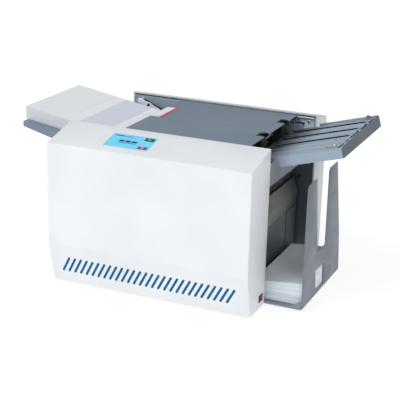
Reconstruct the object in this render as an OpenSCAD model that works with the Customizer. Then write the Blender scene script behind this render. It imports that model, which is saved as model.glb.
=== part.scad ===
// Desktop mail folding and sealing machine.
// Sheets lie on the sloping feed tray at the left, run under the deck plate, are folded
// between two fold plates and three rollers, and drop into the catch tray at the right.
// X runs with the paper, Y runs from the front housing to the rear one, Z is up.
// The part's origin is the middle of its footprint, at the bottom of the feet.

/* [Housings] */
// Length of both housings along the paper path
body_len = 415; // [340:5:500]
// Depth from the front face to the back face
body_depth = 427; // [350:1:520]
// Height of the housings above the feet
body_h = 306; // [255:1:370]
// Depth of the front housing
front_depth = 94; // [84:1:120]
// Depth of the rear housing
rear_depth = 67; // [50:1:90]
// Wall thickness of both housings
wall = 3; // [2:0.5:4]
// Height where the slanting lower front ends
low_z = 84; // [70:1:100]
// How far the lower front is set back at the bottom
low_set_back = 21; // [12:1:30]
// Drop of the slanting control panel from back to front
panel_drop = 22; // [14:1:30]
// Drop of the rear housing's top from front to back
rear_drop = 14; // [4:1:20]
// How far the rear housing stands above the front one
rear_rise = 3; // [0:0.5:6]
// Height of the feet
foot_h = 6; // [4:0.5:12]

/* [Vents] */
// Number of slanting slots in the lower front
vent_count = 28; // [12:1:36]
// Width of one slot
vent_w = 4.2; // [2.5:0.1:5]
// Sideways lean of a slot from top to bottom
vent_lean = 17; // [0:1:24]

/* [Control panel] */
// Width of the display
screen_w = 92; // [60:1:120]
// Height of the display along the panel slope
screen_h = 51; // [30:1:60]
// Left edge of the display
screen_x = 108; // [60:1:160]
// Travel of the start and stop keys
key_travel = 0.6; // [0.3:0.1:1]

/* [Feed tray] */
// Slope of the feed tray in degrees
tray_slope = 8.5; // [4:0.5:14]
// How far the tray stands out to the left
tray_out = 113; // [80:1:160]
// Room left beside the sheets in the throat, both sides together
sheet_room = 50; // [46:1:90]
// Sheet length along the paper path
sheet_len = 279; // [260:1:297]
// Height of the sheets waiting in the tray
pile_h = 25.5; // [8:0.5:30]

/* [Rollers] */
// Radius of the fold rollers and of the nip wheels above them
fold_r = 18; // [14:0.5:18]
// Radius of the fold roller shafts
fold_shaft_r = 6; // [4:0.5:7]
// Radius of the other shafts
shaft_r = 4; // [3:0.5:5]
// Radius of the feed wheels under the waiting sheets
feed_r = 20; // [14:0.5:22]
// Radial running clearance of every shaft in its bore
run_fit = 0.05; // [0.02:0.01:0.1]

/* [Fold plate] */
// Pitch of the upper fold plate in degrees
fold_pitch = 15.7; // [10:0.1:20]
// Length of the upper fold plate from the roller nip
fold_len = 195.6; // [165:0.2:210]
// Gap between the upper fold plate and the throat's walls, both sides together
fold_room = 16; // [12:1:40]

/* [Catch tray] */
// How far the end stop stands out past the housings
stop_out = 72; // [60:1:110]
// Height of the end stop above the housing bottoms
stop_h = 245; // [160:1:280]
// Travel of the catch tray when it is pulled out
tray_travel = 60; // [20:1:70]

/* [Hidden] */
$fn = 48;

// thicknesses and gaps
plate_t = 3;
sheet_t = 1.5;
gap = 0.3;
eps = 1;

// the throat between the two housings
throat_0 = front_depth;
throat_1 = body_depth - rear_depth;
throat_mid = (throat_0 + throat_1) / 2;
throat_w = throat_1 - throat_0;
high_z = body_h - panel_drop;
panel_tilt = atan2(panel_drop, front_depth);
rear_round = 12;
rear_h = body_h + rear_rise;
rear_lip = wall + 1.2;
rear_fall = (rear_drop + 2) / (rear_depth - rear_round);
frame_top = body_h - gap - max(wall / cos(panel_tilt) + plate_t * tan(panel_tilt),
    wall + (plate_t + eps) * rear_fall - rear_rise);
low_tilt = atan2(low_set_back, low_z);
low_slope = sqrt(low_z * low_z + low_set_back * low_set_back);

screen_v = 21.5;

// deck plate
deck_x0 = 115;
deck_x1 = body_len - 42;
deck_top = body_h - 2.2;
deck_t = 2;
notch_w = 31;
deck_lip = fold_r - shaft_r - 4;
notch_x = deck_x1 - 19;
notch_y1 = throat_mid - 0.155 * throat_w;
notch_y2 = throat_mid + 0.265 * throat_w;

// feed tray line, as height over X
tray_z0 = body_h - 35;
tray_end = 158;
function tray_z(x) = tray_z0 - tan(tray_slope) * x;
sheet_w = throat_w - sheet_room;
sheet_y0 = throat_mid - sheet_w / 2 - 3;
sheet_y1 = sheet_y0 + sheet_w;
pile_x0 = -tray_out - 5;
pile_x1 = pile_x0 + sheet_len;

guide_slot_y = sheet_w / 2 - 12;
wheel_y = 0.15 * throat_w;

// roller centres as [X, Z]
feed_x = 135;
feed_c = [feed_x - feed_r * sin(tray_slope), tray_z(feed_x) - feed_r * cos(tray_slope)];
pull_r = 18;
pull_x = 184;
pull_nip_z = tray_z(pull_x);
pull_c = [pull_x, pull_nip_z - pull_r];
retard_r = 16;
retard_c = [pull_x, pull_nip_z + 0.6 + retard_r];
roller_pitch = 2 * fold_r + gap;
nip_c = [deck_x1 - 22, body_h - fold_r - 6.2];
fold_c1 = nip_c + roller_pitch * [sin(fold_pitch), -cos(fold_pitch)];
fold_dir_2 = 20;
fold_c2 = fold_c1 + roller_pitch * [sin(fold_dir_2), -cos(fold_dir_2)];
fold_dir_3 = 30;
fold_c3 = fold_c2 + roller_pitch * [-sin(fold_dir_3), -cos(fold_dir_3)];
nip_1 = (nip_c + fold_c1) / 2;
nip_2 = (fold_c1 + fold_c2) / 2;
motor_c = [body_len - 115, 110];
motor_r = 32;

// rollers and shafts across the throat
roll_0 = throat_0 + 6;
roll_1 = throat_1 - 6;
shaft_0 = throat_0 - plate_t - 2;
shaft_1 = throat_1 + plate_t + 2;

// belts and pulleys in the front housing
pulley_r = 12;
belt_t = 1.5;
belt_w = 6;
belt_a_y = throat_0 - 44;
belt_b_y = throat_0 - 32;
belt_c_y = throat_0 - 20;

// gears in the rear housing
gear_z = 22;
gear_m = roller_pitch / gear_z;
gear_y = throat_1 + plate_t + 3;
gear_w = 8;
gear_step = 360 / gear_z;
gear_a12 = -(90 - fold_dir_2);
gear_a23 = -(90 + fold_dir_3);
gear_rot_1 = gear_a12;
gear_rot_2 = gear_a12 + 180 + gear_step / 2;
gear_rot_3 = gear_a23 + 180 + (gear_a23 - gear_rot_2) + gear_step / 2;

// upper fold plate, in its own frame: u along the plate, v square to it
fold_w = throat_w - fold_room;
fold_y0 = throat_mid - fold_w / 2 - 1;
fold_y1 = fold_y0 + fold_w;
fold_u0 = 13.5;
fold_pivot_u = 20;
fold_pivot_r = 3;
fold_top = 5.1;
fold_skirt = 18.3;
fold_skirt_u = 72.6;
fold_lip = 5;
fold_slots = [for (f = [-0.068, 0.16, 0.38]) throat_mid + f * fold_w];
fold_slot_w = 6;
bracket_y = fold_y0 + 0.076 * fold_w;
fold_pivot = nip_1 + fold_pivot_u * [cos(fold_pitch), sin(fold_pitch)];

// discharge side
bay_x = body_len - 35;
fascia_x = body_len - 4;
chute_z0 = 117;
chute_z1 = fold_c3[1] - 5;
chute_bend = 148;
bay_post = 8;
tray_x1 = body_len + stop_out;
tray_floor = 5.3;
catch_y0 = throat_0 + 1.5;
catch_y1 = throat_1 - 32;
catch_w = catch_y1 - catch_y0;

// end stop outline: the near prong tapers on its inner edge, the far one on its outer edge
stop_t = 2;
cross_z = 90;
prong_in = [catch_y0 + 0.224 * catch_w, catch_y0 + 0.344 * catch_w];
prong_out = [catch_y0 + 0.542 * catch_w, catch_y0 + 0.563 * catch_w];
prong_far = catch_y0 + 0.77 * catch_w;
window_y = [for (f = [0.35, 0.325, 0.546, 0.568]) catch_y0 + f * catch_w];

// hold-down arm beside the sheets
arm_c = [23, body_h - 11];
arm_len = 47;
arm_drop = 22;
arm_w = 9.5;
arm_y = sheet_y1 + 13;

// power switch in the right wall of the front housing
switch_c = [front_depth - 22, 20.5];
switch_w = 18;
switch_h = 13;
switch_tilt = 7;
switch_pin_r = 1.2;
switch_pin = [body_len - 1.5, switch_c[0]];

// the whole part, for centring it on its own footprint
x_left = pile_x0;
x_right = nip_1[0] + (fold_len + sheet_t) * cos(fold_pitch) + (fold_skirt - fold_top) * sin(fold_pitch);

module place() {
    translate([-(x_left + x_right) / 2, -body_depth / 2, foot_h])
        children();
}

// a profile drawn as [Y, Z] and drawn out along X
module along_x(x0, x1) {
    translate([x0, 0, 0])
        rotate([90, 0, 90])
            linear_extrude(x1 - x0)
                children();
}

// a profile drawn as [X, Z] and drawn out along Y
module along_y(y0, y1) {
    translate([0, y1, 0])
        rotate([90, 0, 0])
            linear_extrude(y1 - y0)
                children();
}

module box(a, b) {
    translate(a)
        cube(b - a);
}

module rod_y(c, r, y0, y1) {
    translate([c[0], y0, c[1]])
        rotate([-90, 0, 0])
            cylinder(r = r, h = y1 - y0);
}

module rod_x(x0, x1, r, y, z) {
    translate([x0, y, z])
        rotate([0, 90, 0])
            cylinder(r = r, h = x1 - x0);
}

// half of a bar's round end, as points about c, from angle a onwards
function bar_end(c, r, a) = [for (i = [0 : 12]) c + r * [cos(a + 15 * i), sin(a + 15 * i)]];

// a flat round-ended bar from p to q, in the plane of the profile
module bar_2d(p, q, w) {
    a = atan2(q[1] - p[1], q[0] - p[0]);
    polygon(concat(bar_end(p, w / 2, a + 90), bar_end(q, w / 2, a - 90)));
}

module pulley(c, y) {
    rod_y(c, pulley_r - 0.2, y - 0.5, y + belt_w + 0.5);
    rod_y(c, pulley_r + 2.4, y - 1.8, y - 0.4);
    rod_y(c, pulley_r + 2.4, y + belt_w + 0.4, y + belt_w + 1.8);
}

module belt(p, q, y) {
    ri = pulley_r + 0.1;
    along_y(y, y + belt_w)
        difference() {
            bar_2d(p, q, 2 * (ri + belt_t));
            bar_2d(p, q, 2 * ri);
        }
}

module gear_2d(turn) {
    tip = gear_m * (gear_z + 1.9) / 2;
    mid = gear_m * gear_z / 2;
    root = gear_m * (gear_z - 2.5) / 2;
    circle(r = root);
    for (i = [0 : gear_z - 1])
        rotate(turn + i * gear_step)
            polygon([
                [root * cos(gear_step * 0.30) - 1, -root * sin(gear_step * 0.30)],
                [mid * cos(gear_step * 0.22), -mid * sin(gear_step * 0.22)],
                [tip, -tip * sin(gear_step * 0.12)],
                [tip, tip * sin(gear_step * 0.12)],
                [mid * cos(gear_step * 0.22), mid * sin(gear_step * 0.22)],
                [root * cos(gear_step * 0.30) - 1, root * sin(gear_step * 0.30)]
            ]);
}

module gear(c, turn) {
    along_y(gear_y, gear_y + gear_w)
        translate(c)
            difference() {
                gear_2d(turn);
                circle(r = fold_shaft_r - 0.5);
            }
}

// the plates' local frame: X along the plate, Z square to it
module fold_frame() {
    translate([nip_1[0], 0, nip_1[1]])
        rotate([0, -fold_pitch, 0])
            children();
}

module low_front_frame() {
    translate([0, 0, low_z])
        rotate([low_tilt, 0, 0])
            children();
}

module panel_frame() {
    translate([0, 0, high_z])
        rotate([panel_tilt, 0, 0])
            children();
}

module base_plate() {
    color("silver")
        difference() {
            box([wall + gap, low_set_back + wall + gap, 0],
                [body_len - wall - gap, body_depth - wall - gap, plate_t]);
            box([bay_x + 3, throat_0, -eps], [body_len + eps, throat_1, plate_t + eps]);
        }
}

module feet() {
    color("black")
        for (x = [22, body_len - 20])
            for (y = [front_depth - 26, body_depth - 28])
                translate([x, y, -foot_h])
                    cylinder(r1 = 8, r2 = 9.5, h = foot_h);
}

module frame_holes(y0, y1) {
    for (c = [feed_c, pull_c, retard_c, nip_c])
        rod_y(c, shaft_r + run_fit, y0, y1);
    for (c = [fold_c1, fold_c2, fold_c3])
        rod_y(c, fold_shaft_r + run_fit, y0, y1);
    rod_y(fold_pivot, fold_pivot_r + run_fit, y0, y1);
}

module front_frame() {
    color("slategray")
        difference() {
            box([wall + gap, throat_0 - plate_t, plate_t], [body_len - wall - gap, throat_0, frame_top]);
            frame_holes(throat_0 - plate_t - eps, throat_0 + eps);
            rod_y(motor_c, shaft_r + 4, throat_0 - plate_t - eps, throat_0 + eps);
        }
}

module rear_frame() {
    color("slategray")
        difference() {
            box([wall + gap, throat_1, plate_t], [body_len - wall - gap, throat_1 + plate_t, frame_top]);
            frame_holes(throat_1 - eps, throat_1 + plate_t + eps);
            rod_y(arm_c, fold_pivot_r + run_fit, throat_1 - eps, throat_1 + plate_t + eps);
        }
}

module tie_bars() {
    color("lightgray")
        for (c = [[40, tray_z(40) - 45], [60, 40], [body_len - 85, 50]])
            rod_y(c, 5, throat_0, throat_1);
}

module front_cover() {
    inner_z = high_z + wall * tan(panel_tilt) - wall / cos(panel_tilt);
    slot_top = low_slope * 0.35;
    slot_end = low_slope * 0.70;
    first_x = 25 + vent_lean;
    pitch = (body_len - first_x - 27.5) / (vent_count - 1);
    color("whitesmoke")
        difference() {
            along_x(0, body_len)
                polygon([[low_set_back, 0], [0, low_z], [0, high_z], [front_depth, body_h],
                    [front_depth, 0]]);
            along_x(wall, body_len - wall)
                polygon([[low_set_back + wall, -eps], [wall, low_z], [wall, inner_z],
                    [front_depth + eps, body_h - wall / cos(panel_tilt) + tan(panel_tilt)],
                    [front_depth + eps, -eps]]);
            low_front_frame()
                for (i = [0 : vent_count - 1])
                    along_y(-wall, 2 * wall)
                        bar_2d([first_x + i * pitch, -slot_top],
                            [first_x + i * pitch - vent_lean, -slot_end], vent_w);
            panel_frame()
                box([screen_x, screen_v, -2 * wall], [screen_x + screen_w, screen_v + screen_h, wall]);
            box([body_len - 2 * wall, switch_c[0] - switch_w / 2 + 1, switch_c[1] - switch_h / 2 + 1],
                [body_len + eps, switch_c[0] + switch_w / 2 - 1, switch_c[1] + switch_h / 2 - 1]);
            box([-eps, front_depth - 46, 14], [2 * wall, front_depth - 18, 36]);
        }
}

module vent_backing() {
    color("teal")
        low_front_frame()
            box([16, wall + 0.6, -low_slope * 0.78], [body_len - 16, wall + 2, -low_slope * 0.28]);
}

rear_screws = [for (x = [20, body_len - 20]) for (z = [22, body_h - 40]) [x, z]];
screw_sink = 0.6;

// the rear housing's profile as [Y, Z], drawn in by t from the outside
module rear_profile(t) {
    r = rear_round;
    front = t > 0 ? throat_1 - eps : throat_1;
    foot = t > 0 ? -eps : 0;
    polygon(concat(
        [[front, foot], [front, rear_h - t]],
        [for (a = [80 : -10 : 0])
            [body_depth - r + (r - t) * cos(a), rear_h - rear_drop - r + (r - t) * sin(a)]],
        [[body_depth - t, foot]]));
}

module rear_cover() {
    color("whitesmoke") {
        box([wall, throat_1, rear_h - rear_lip],
            [body_len - wall, throat_1 + sheet_t, rear_h - wall]);
        difference() {
            along_x(0, body_len)
                rear_profile(0);
            along_x(wall, body_len - wall)
                rear_profile(wall);
            for (i = [0 : 9])
                box([body_len - 160 + 12 * i, body_depth - 2 * wall, 40],
                    [body_len - 156 + 12 * i, body_depth + eps, 90]);
            for (p = rear_screws)
                rod_y(p, 4, body_depth - screw_sink, body_depth + eps);
        }
    }
}

module left_panel() {
    color("slategray") {
        box([wall + 1, throat_0, plate_t], [wall + 1 + sheet_t, throat_1, tray_z0 - 28]);
        box([wall + 1, throat_0, plate_t], [wall + 13, throat_1, plate_t + sheet_t]);
        box([wall + 1, throat_0, tray_z0 - 28 - sheet_t], [wall + 11, throat_1, tray_z0 - 28]);
    }
}

module deck_plate() {
    z0 = deck_top - deck_t;
    color("slategray")
        difference() {
            union() {
                box([deck_x0, throat_0, z0], [deck_x1, throat_1, deck_top]);
                for (y = [throat_0, throat_1 - sheet_t])
                    box([deck_x0 + 4, y, z0 - deck_lip], [deck_x1 - 4, y + sheet_t, z0]);
                box([deck_x0, throat_0 + 4, z0 - 4], [deck_x0 + sheet_t, throat_1 - 4, z0]);
            }
            for (y = [notch_y1, notch_y2])
                box([notch_x, y - notch_w / 2, z0 - eps],
                    [deck_x1 + eps, y + notch_w / 2, deck_top + eps]);
        }
}

module deck_label() {
    color("white")
        box([deck_x0 + 1, throat_mid - 20, deck_top],
            [deck_x0 + 25, throat_mid + 60, deck_top + 0.5]);
}

module guide_finger() {
    z0 = deck_top - deck_t;
    y = notch_y2 + notch_w / 2 + 1;
    color("black") {
        box([notch_x - 8, y, z0 - 3], [body_len - 12, y + 4, z0]);
        box([body_len - 15, y, z0 - 6], [body_len - 12, y + 4, z0]);
    }
}

module rear_bracket() {
    x1 = body_len - 6;
    color("lightsteelblue") {
        along_y(throat_1 - sheet_t, throat_1)
            polygon([[deck_x1 + 1, frame_top], [x1, frame_top], [x1, body_h - 42],
                [deck_x1 + 15, body_h - 42], [deck_x1 + 15, frame_top - 20]]);
        box([deck_x1 + 1, throat_1 - 6, frame_top - sheet_t], [x1, throat_1, frame_top]);
    }
}

// keys in cut-outs of the display, each as [start, height] up the panel
key_x = screen_x + screen_w - 24;
key_w = 19;
key_rows = [[screen_v + 5, 9], [screen_v + 37, 11]];

module display_screen() {
    color("skyblue")
        panel_frame()
            difference() {
                box([screen_x + gap, screen_v + gap, -3],
                    [screen_x + screen_w - gap, screen_v + screen_h - gap, -0.5]);
                for (k = key_rows)
                    box([key_x - gap, k[0] - gap, -4], [key_x + key_w + gap, k[0] + k[1] + gap, eps]);
            }
}

module key(k) {
    panel_frame() {
        box([key_x, k[0], -3.4], [key_x + key_w, k[0] + k[1], 0.3]);
        box([key_x - 1, k[0] - 1, -4.6], [key_x + key_w + 1, k[0] + k[1] + 1, -3.4]);
    }
}

module start_key() {
    color("green")
        key(key_rows[1]);
}

module stop_key() {
    color("firebrick")
        key(key_rows[0]);
}

module control_board() {
    color("darkgreen")
        panel_frame() {
            z1 = -4.6 - key_travel - 0.3;
            box([screen_x - 8, 14, z1 - 1.6], [screen_x + screen_w + 8, 80, z1]);
            for (x = [screen_x + 10, screen_x + 40])
                box([x, 30, z1 - 6], [x + 18, 48, z1 - 1.6]);
            for (x = [screen_x - 5, screen_x + screen_w + 2])
                for (y = [17, 74])
                    translate([x + 1.5, y + 1.5, z1])
                        cylinder(r = 2, h = -z1 - wall);
        }
}

module switch_frame() {
    cy = switch_c[0];
    cz = switch_c[1];
    w = switch_w / 2;
    h = switch_h / 2;
    color("black")
        difference() {
            union() {
                box([body_len, cy - w, cz - h], [body_len + 1.2, cy + w, cz + h]);
                box([body_len - 14, cy - w + 1, cz - h + 1], [body_len, cy + w - 1, cz + h - 1]);
            }
            box([body_len - 9, cy - w + 2, cz - h + 2], [body_len + 2, cy + w - 2, cz + h - 2]);
            translate([switch_pin[0], switch_pin[1], cz - h + 1.2])
                cylinder(r = switch_pin_r + run_fit, h = 2 * h - 2.4);
        }
}

module switch_rocker() {
    h = switch_h / 2 - 2.3;
    w = switch_w / 2 - 2.8;
    pin_h = switch_h / 2 - 1.3;
    color("indianred")
        translate([switch_pin[0], switch_pin[1], switch_c[1]]) {
            rotate(switch_tilt)
                translate([0, 0, -h])
                    linear_extrude(2 * h)
                        polygon([[-4.5, -3], [-4.5, 3], [2, w], [3.4, w], [2.2, 0], [3.4, -w], [2, -w]]);
            translate([0, 0, -pin_h])
                cylinder(r = switch_pin_r, h = 2 * pin_h);
        }
}

module power_inlet() {
    y0 = front_depth - 46;
    color("black")
        difference() {
            union() {
                box([-1.2, y0 - 1.5, 12.5], [0, y0 + 29.5, 37.5]);
                box([0, y0 + 0.3, 14.3], [20, y0 + 27.7, 35.7]);
            }
            box([-2, y0 + 3, 17], [16, y0 + 25, 33]);
        }
    color("silver")
        for (p = [[y0 + 7, 23], [y0 + 14, 28], [y0 + 21, 23]])
            box([3, p[0] - 1, p[1] - 2.5], [16.5, p[0] + 1, p[1] + 2.5]);
}

module power_supply() {
    color("gainsboro") {
        box([50, 32, plate_t], [160, front_depth - 12, 58]);
        for (i = [0 : 7])
            box([58 + 12 * i, 34, 58], [64 + 12 * i, front_depth - 14, 60]);
    }
}

module feed_tray() {
    y0 = throat_0 + 4.5;
    y1 = throat_1 - 4.5;
    t = sheet_t / cos(tray_slope);
    color("lightsteelblue")
        difference() {
            union() {
                along_y(y0, y1)
                    polygon([[-tray_out, tray_z(-tray_out)], [tray_end, tray_z(tray_end)],
                        [tray_end, tray_z(tray_end) - t], [-tray_out, tray_z(-tray_out) - t]]);
                for (y = [y0, y1 - sheet_t])
                    along_y(y, y + sheet_t)
                        polygon([[-tray_out, tray_z(-tray_out)], [90, tray_z(90)], [90, tray_z(90) - 8],
                            [40, tray_z(40) - 24], [0, tray_z(0) - 21.5],
                            [-tray_out, tray_z(-tray_out) - 10.4]]);
                box([-tray_out, y0, tray_z(-tray_out) - 10.4],
                    [-tray_out + sheet_t, y1, tray_z(-tray_out)]);
                for (y = [throat_0, y1 - 1])
                    box([12, y, tray_z(12) - 16], [50, y + 5.5, tray_z(50) - 3]);
            }
            for (y = [throat_mid - wheel_y, throat_mid + wheel_y])
                box([feed_x - 21, y - 14, tray_z(feed_x) - 12],
                    [tray_end + eps, y + 14, tray_z(feed_x) + 12]);
            for (s = [-1, 1])
                box([30, throat_mid + s * guide_slot_y - 28, tray_z(30) - 8],
                    [38, throat_mid + s * guide_slot_y + 28, tray_z(30) + 4]);
        }
}

// one side guide: an upright fence over the tray with a shoe in the tray's cross slot
module side_guide(y, s) {
    color("gray") {
        along_y(min(y, y + 2 * s), max(y, y + 2 * s))
            polygon([[10, tray_z(10) + gap], [104, tray_z(104) + gap], [104, tray_z(104) + 15],
                [98, tray_z(98) + 18], [14, tray_z(14) + 18], [10, tray_z(10) + 15]]);
        along_y(min(y, y + 6 * s), max(y, y + 6 * s))
            polygon([[20, tray_z(20) + gap], [60, tray_z(60) + gap], [60, tray_z(60) + 2],
                [20, tray_z(20) + 2]]);
        box([31, min(y + s, y + 6 * s), tray_z(34) - 6], [37, max(y + s, y + 6 * s), tray_z(34) + 1]);
    }
}

module near_guide() {
    side_guide(sheet_y0 - 0.3, -1);
}

module far_guide() {
    side_guide(sheet_y1 + 0.3, 1);
}

module infeed_stack() {
    x_fan = pile_x1 - 31;
    lean = 0.012;
    color("white")
        along_y(sheet_y0, sheet_y1)
            polygon([[pile_x0, tray_z(pile_x0) + gap], [pile_x1 - 4, tray_z(pile_x1 - 4) + gap],
                [pile_x1 - 2, tray_z(pile_x1) + 3],
                [x_fan, tray_z(x_fan) + gap + pile_h - lean * (x_fan - pile_x0)],
                [pile_x0, tray_z(pile_x0) + gap + pile_h]]);
}

module hold_down_arm() {
    arm_dir = [cos(arm_drop), -sin(arm_drop)];
    tip = arm_c + arm_len * arm_dir;
    mid = (arm_c + tip) / 2;
    color("lightgray") {
        along_y(arm_y - 4, arm_y)
            bar_2d(arm_c, tip, arm_w);
        rod_y(arm_c, fold_pivot_r, arm_y - 4, throat_1 + plate_t + 2);
        along_y(arm_y - 4.6, arm_y)
            bar_2d(mid - 2 * arm_dir, mid + 2 * arm_dir, arm_w + 3);
    }
}

module hold_down_rod() {
    a = arm_c + [10, 1.9];
    b = a + 44 * [cos(arm_drop), -sin(arm_drop)];
    color("black")
        along_y(arm_y, arm_y + 3)
            bar_2d(a, b, 3.2);
}

module feed_shaft() {
    color("silver") {
        rod_y(feed_c, shaft_r, belt_c_y - 3, shaft_1);
        pulley(feed_c, belt_c_y);
    }
}

module wheels(c, r, bore, list, w) {
    for (y = list)
        difference() {
            rod_y(c, r, y - w / 2, y + w / 2);
            rod_y(c, bore, y - w, y + w);
        }
}

module feed_wheels() {
    color("dimgray")
        wheels(feed_c, feed_r, shaft_r, [throat_mid - wheel_y, throat_mid + wheel_y], 24);
}

module pull_shaft() {
    color("silver") {
        rod_y(pull_c, shaft_r, belt_b_y - 3, shaft_1);
        pulley(pull_c, belt_b_y);
        pulley(pull_c, belt_c_y);
    }
}

module pull_wheels() {
    color("dimgray")
        wheels(pull_c, pull_r, shaft_r, [throat_mid - 2 * wheel_y, throat_mid, throat_mid + 2 * wheel_y], 32);
}

module retard_shaft() {
    color("silver")
        rod_y(retard_c, shaft_r, shaft_0, shaft_1);
}

module retard_roller() {
    color("dimgray")
        wheels(retard_c, retard_r, shaft_r, [throat_mid], 34);
}

module nip_shaft() {
    color("silver")
        rod_y(nip_c, shaft_r, shaft_0, shaft_1);
}

module nip_wheels() {
    color("black")
        wheels(nip_c, fold_r, shaft_r, [notch_y1, notch_y2], notch_w - 5);
}

module fold_core(c, y0, turn) {
    rod_y(c, fold_shaft_r, y0, gear_y + gear_w + 2);
    gear(c, turn);
}

module fold_shaft_1() {
    color("silver") {
        fold_core(fold_c1, belt_a_y - 3, gear_rot_1);
        pulley(fold_c1, belt_a_y);
        pulley(fold_c1, belt_b_y);
    }
}

module fold_shaft_2() {
    color("silver")
        fold_core(fold_c2, shaft_0, gear_rot_2);
}

module fold_shaft_3() {
    color("silver")
        fold_core(fold_c3, shaft_0, gear_rot_3);
}

// a rubber fold roller with shallow grooves round it
module fold_roller(c) {
    difference() {
        rod_y(c, fold_r, roll_0, roll_1);
        rod_y(c, fold_shaft_r, roll_0 - eps, roll_1 + eps);
        for (y = [roll_0 + 20 : 36 : roll_1 - 12])
            difference() {
                rod_y(c, fold_r + eps, y, y + 4);
                rod_y(c, fold_r - 1.5, y - eps, y + 5);
            }
    }
}

module fold_roller_1() {
    color("dimgray")
        fold_roller(fold_c1);
}

module fold_roller_2() {
    color("dimgray")
        fold_roller(fold_c2);
}

module fold_roller_3() {
    color("dimgray")
        fold_roller(fold_c3);
}

module drive_motor() {
    color("darkslategray")
        difference() {
            union() {
                rod_y(motor_c, motor_r, throat_0 + 3, throat_0 + 72);
                box([motor_c[0] - 36, throat_0, motor_c[1] - 36],
                    [motor_c[0] + 36, throat_0 + 3, motor_c[1] + 36]);
                rod_y(motor_c, motor_r - 8, throat_0 + 72, throat_0 + 78);
            }
            rod_y(motor_c, shaft_r + run_fit, throat_0 - eps, throat_0 + 40);
        }
}

module motor_shaft() {
    color("silver") {
        rod_y(motor_c, shaft_r, belt_a_y - 3, throat_0 + 38);
        pulley(motor_c, belt_a_y);
    }
}

module drive_belt() {
    color("black")
        belt(motor_c, fold_c1, belt_a_y);
}

module transfer_belt() {
    color("black")
        belt(pull_c, fold_c1, belt_b_y);
}

module feed_belt() {
    color("black")
        belt(feed_c, pull_c, belt_c_y);
}

module paper_bed() {
    x0 = pull_x + 22;
    x1 = fold_c1[0] - 22;
    slope = (nip_1[1] - pull_nip_z) / (nip_1[0] - pull_x);
    z0 = pull_nip_z - 1 + slope * (x0 - pull_x);
    z1 = pull_nip_z - 1 + slope * (x1 - pull_x);
    color("lightsteelblue") {
        along_y(throat_0, throat_1)
            polygon([[x0, z0], [x1, z1], [x1, z1 - sheet_t], [x0, z0 - sheet_t]]);
        for (y = [throat_0, throat_1 - sheet_t])
            along_y(y, y + sheet_t)
                polygon([[x0, z0], [x1, z1], [x1, z1 - 7], [x0, z0 - 7]]);
    }
}

module fold_rib(y, u1) {
    box([fold_u0 + 6, y - 2.5, fold_top], [u1, y + 2.5, fold_top + 2]);
}

module upper_fold_plate() {
    y0 = fold_y0;
    y1 = fold_y1;
    color("lightsteelblue")
        fold_frame()
            difference() {
                union() {
                    box([fold_u0, y0, fold_top - 1.2], [fold_len, y1, fold_top]);
                    box([fold_u0, y0, -2.4], [fold_len, y1, -1.2]);
                    for (y = [y0, y1 - sheet_t])
                        box([fold_u0, y, -2.4], [fold_len, y + sheet_t, fold_top]);
                    for (y = [y0, y1 - sheet_t])
                        box([fold_skirt_u, y, fold_top - fold_skirt], [fold_len, y + sheet_t, fold_top]);
                    box([fold_skirt_u, y1 - sheet_t, fold_top], [fold_len, y1, fold_top + fold_lip]);
                    along_x(fold_len, fold_len + sheet_t)
                        polygon([[y0, fold_top - fold_skirt], [y0, fold_top - 3], [y0 + 12, fold_top + 2],
                            [y1 - 4, fold_top + fold_lip], [y1, fold_top + fold_lip - 3],
                            [y1, fold_top - fold_skirt]]);
                    for (f = [-0.344, -0.22])
                        fold_rib(throat_mid + f * fold_w, fold_len - 42);
                    for (f = [0.046, 0.27])
                        fold_rib(throat_mid + f * fold_w, fold_len - 12);
                    for (y = [y0 - 1, y1])
                        box([fold_pivot_u - 3.4, y, -3.4], [fold_pivot_u + 3.4, y + 1, 3.4]);
                    rod_y([fold_pivot_u, 0], fold_pivot_r, throat_0 - plate_t, y0 + sheet_t);
                    rod_y([fold_pivot_u, 0], fold_pivot_r, y1 - sheet_t, throat_1 + plate_t);
                }
                for (y = fold_slots)
                    box([fold_u0 + 4, y - fold_slot_w / 2, fold_top - 2],
                        [fold_len - 16, y + fold_slot_w / 2, fold_top + eps]);
                box([fold_len - 6.5, y0 + 17, fold_top - 2], [fold_len - 3.5, y1 - 6, fold_top + eps]);
            }
}

module fold_stop() {
    u = fold_len - 22;
    color("dimgray")
        fold_frame() {
            box([u, fold_y0 + 3, -0.9], [u + 3, fold_y1 - 3, fold_top - 1.6]);
            for (y = fold_slots)
                box([u - 4, y - fold_slot_w / 2 + 0.4, -0.9],
                    [u + 4, y + fold_slot_w / 2 - 0.4, fold_top - 0.4]);
        }
}

module stop_bracket() {
    color("lightsteelblue")
        fold_frame()
            box([fold_len - 39, bracket_y, fold_top], [fold_len - 8, bracket_y + 75, fold_top + 2]);
}

module button_screw(r, h) {
    cylinder(r = r, h = h * 0.5);
    translate([0, 0, h * 0.5])
        cylinder(r1 = r, r2 = r * 0.7, h = h * 0.5);
}

module plate_screws() {
    color("silver")
        fold_frame() {
            for (p = [[fold_len - 30, bracket_y + 59], [fold_len - 21, bracket_y + 9]])
                translate([p[0], p[1], fold_top + 2])
                    button_screw(4.5, 3);
            translate([fold_len - 18, fold_y1 - 8, fold_top])
                cylinder(r = 5, h = 9);
        }
}

module lower_fold_plate() {
    color("lightsteelblue")
        translate([nip_2[0], 0, nip_2[1]])
            rotate([0, 180 - fold_dir_2, 0]) {
                box([22, throat_0, 1.5], [172, throat_1, 2.7]);
                box([22, throat_0, -2.7], [172, throat_1, -1.5]);
                box([160, throat_0, -1.5], [162, throat_1, 1.5]);
            }
}

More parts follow.
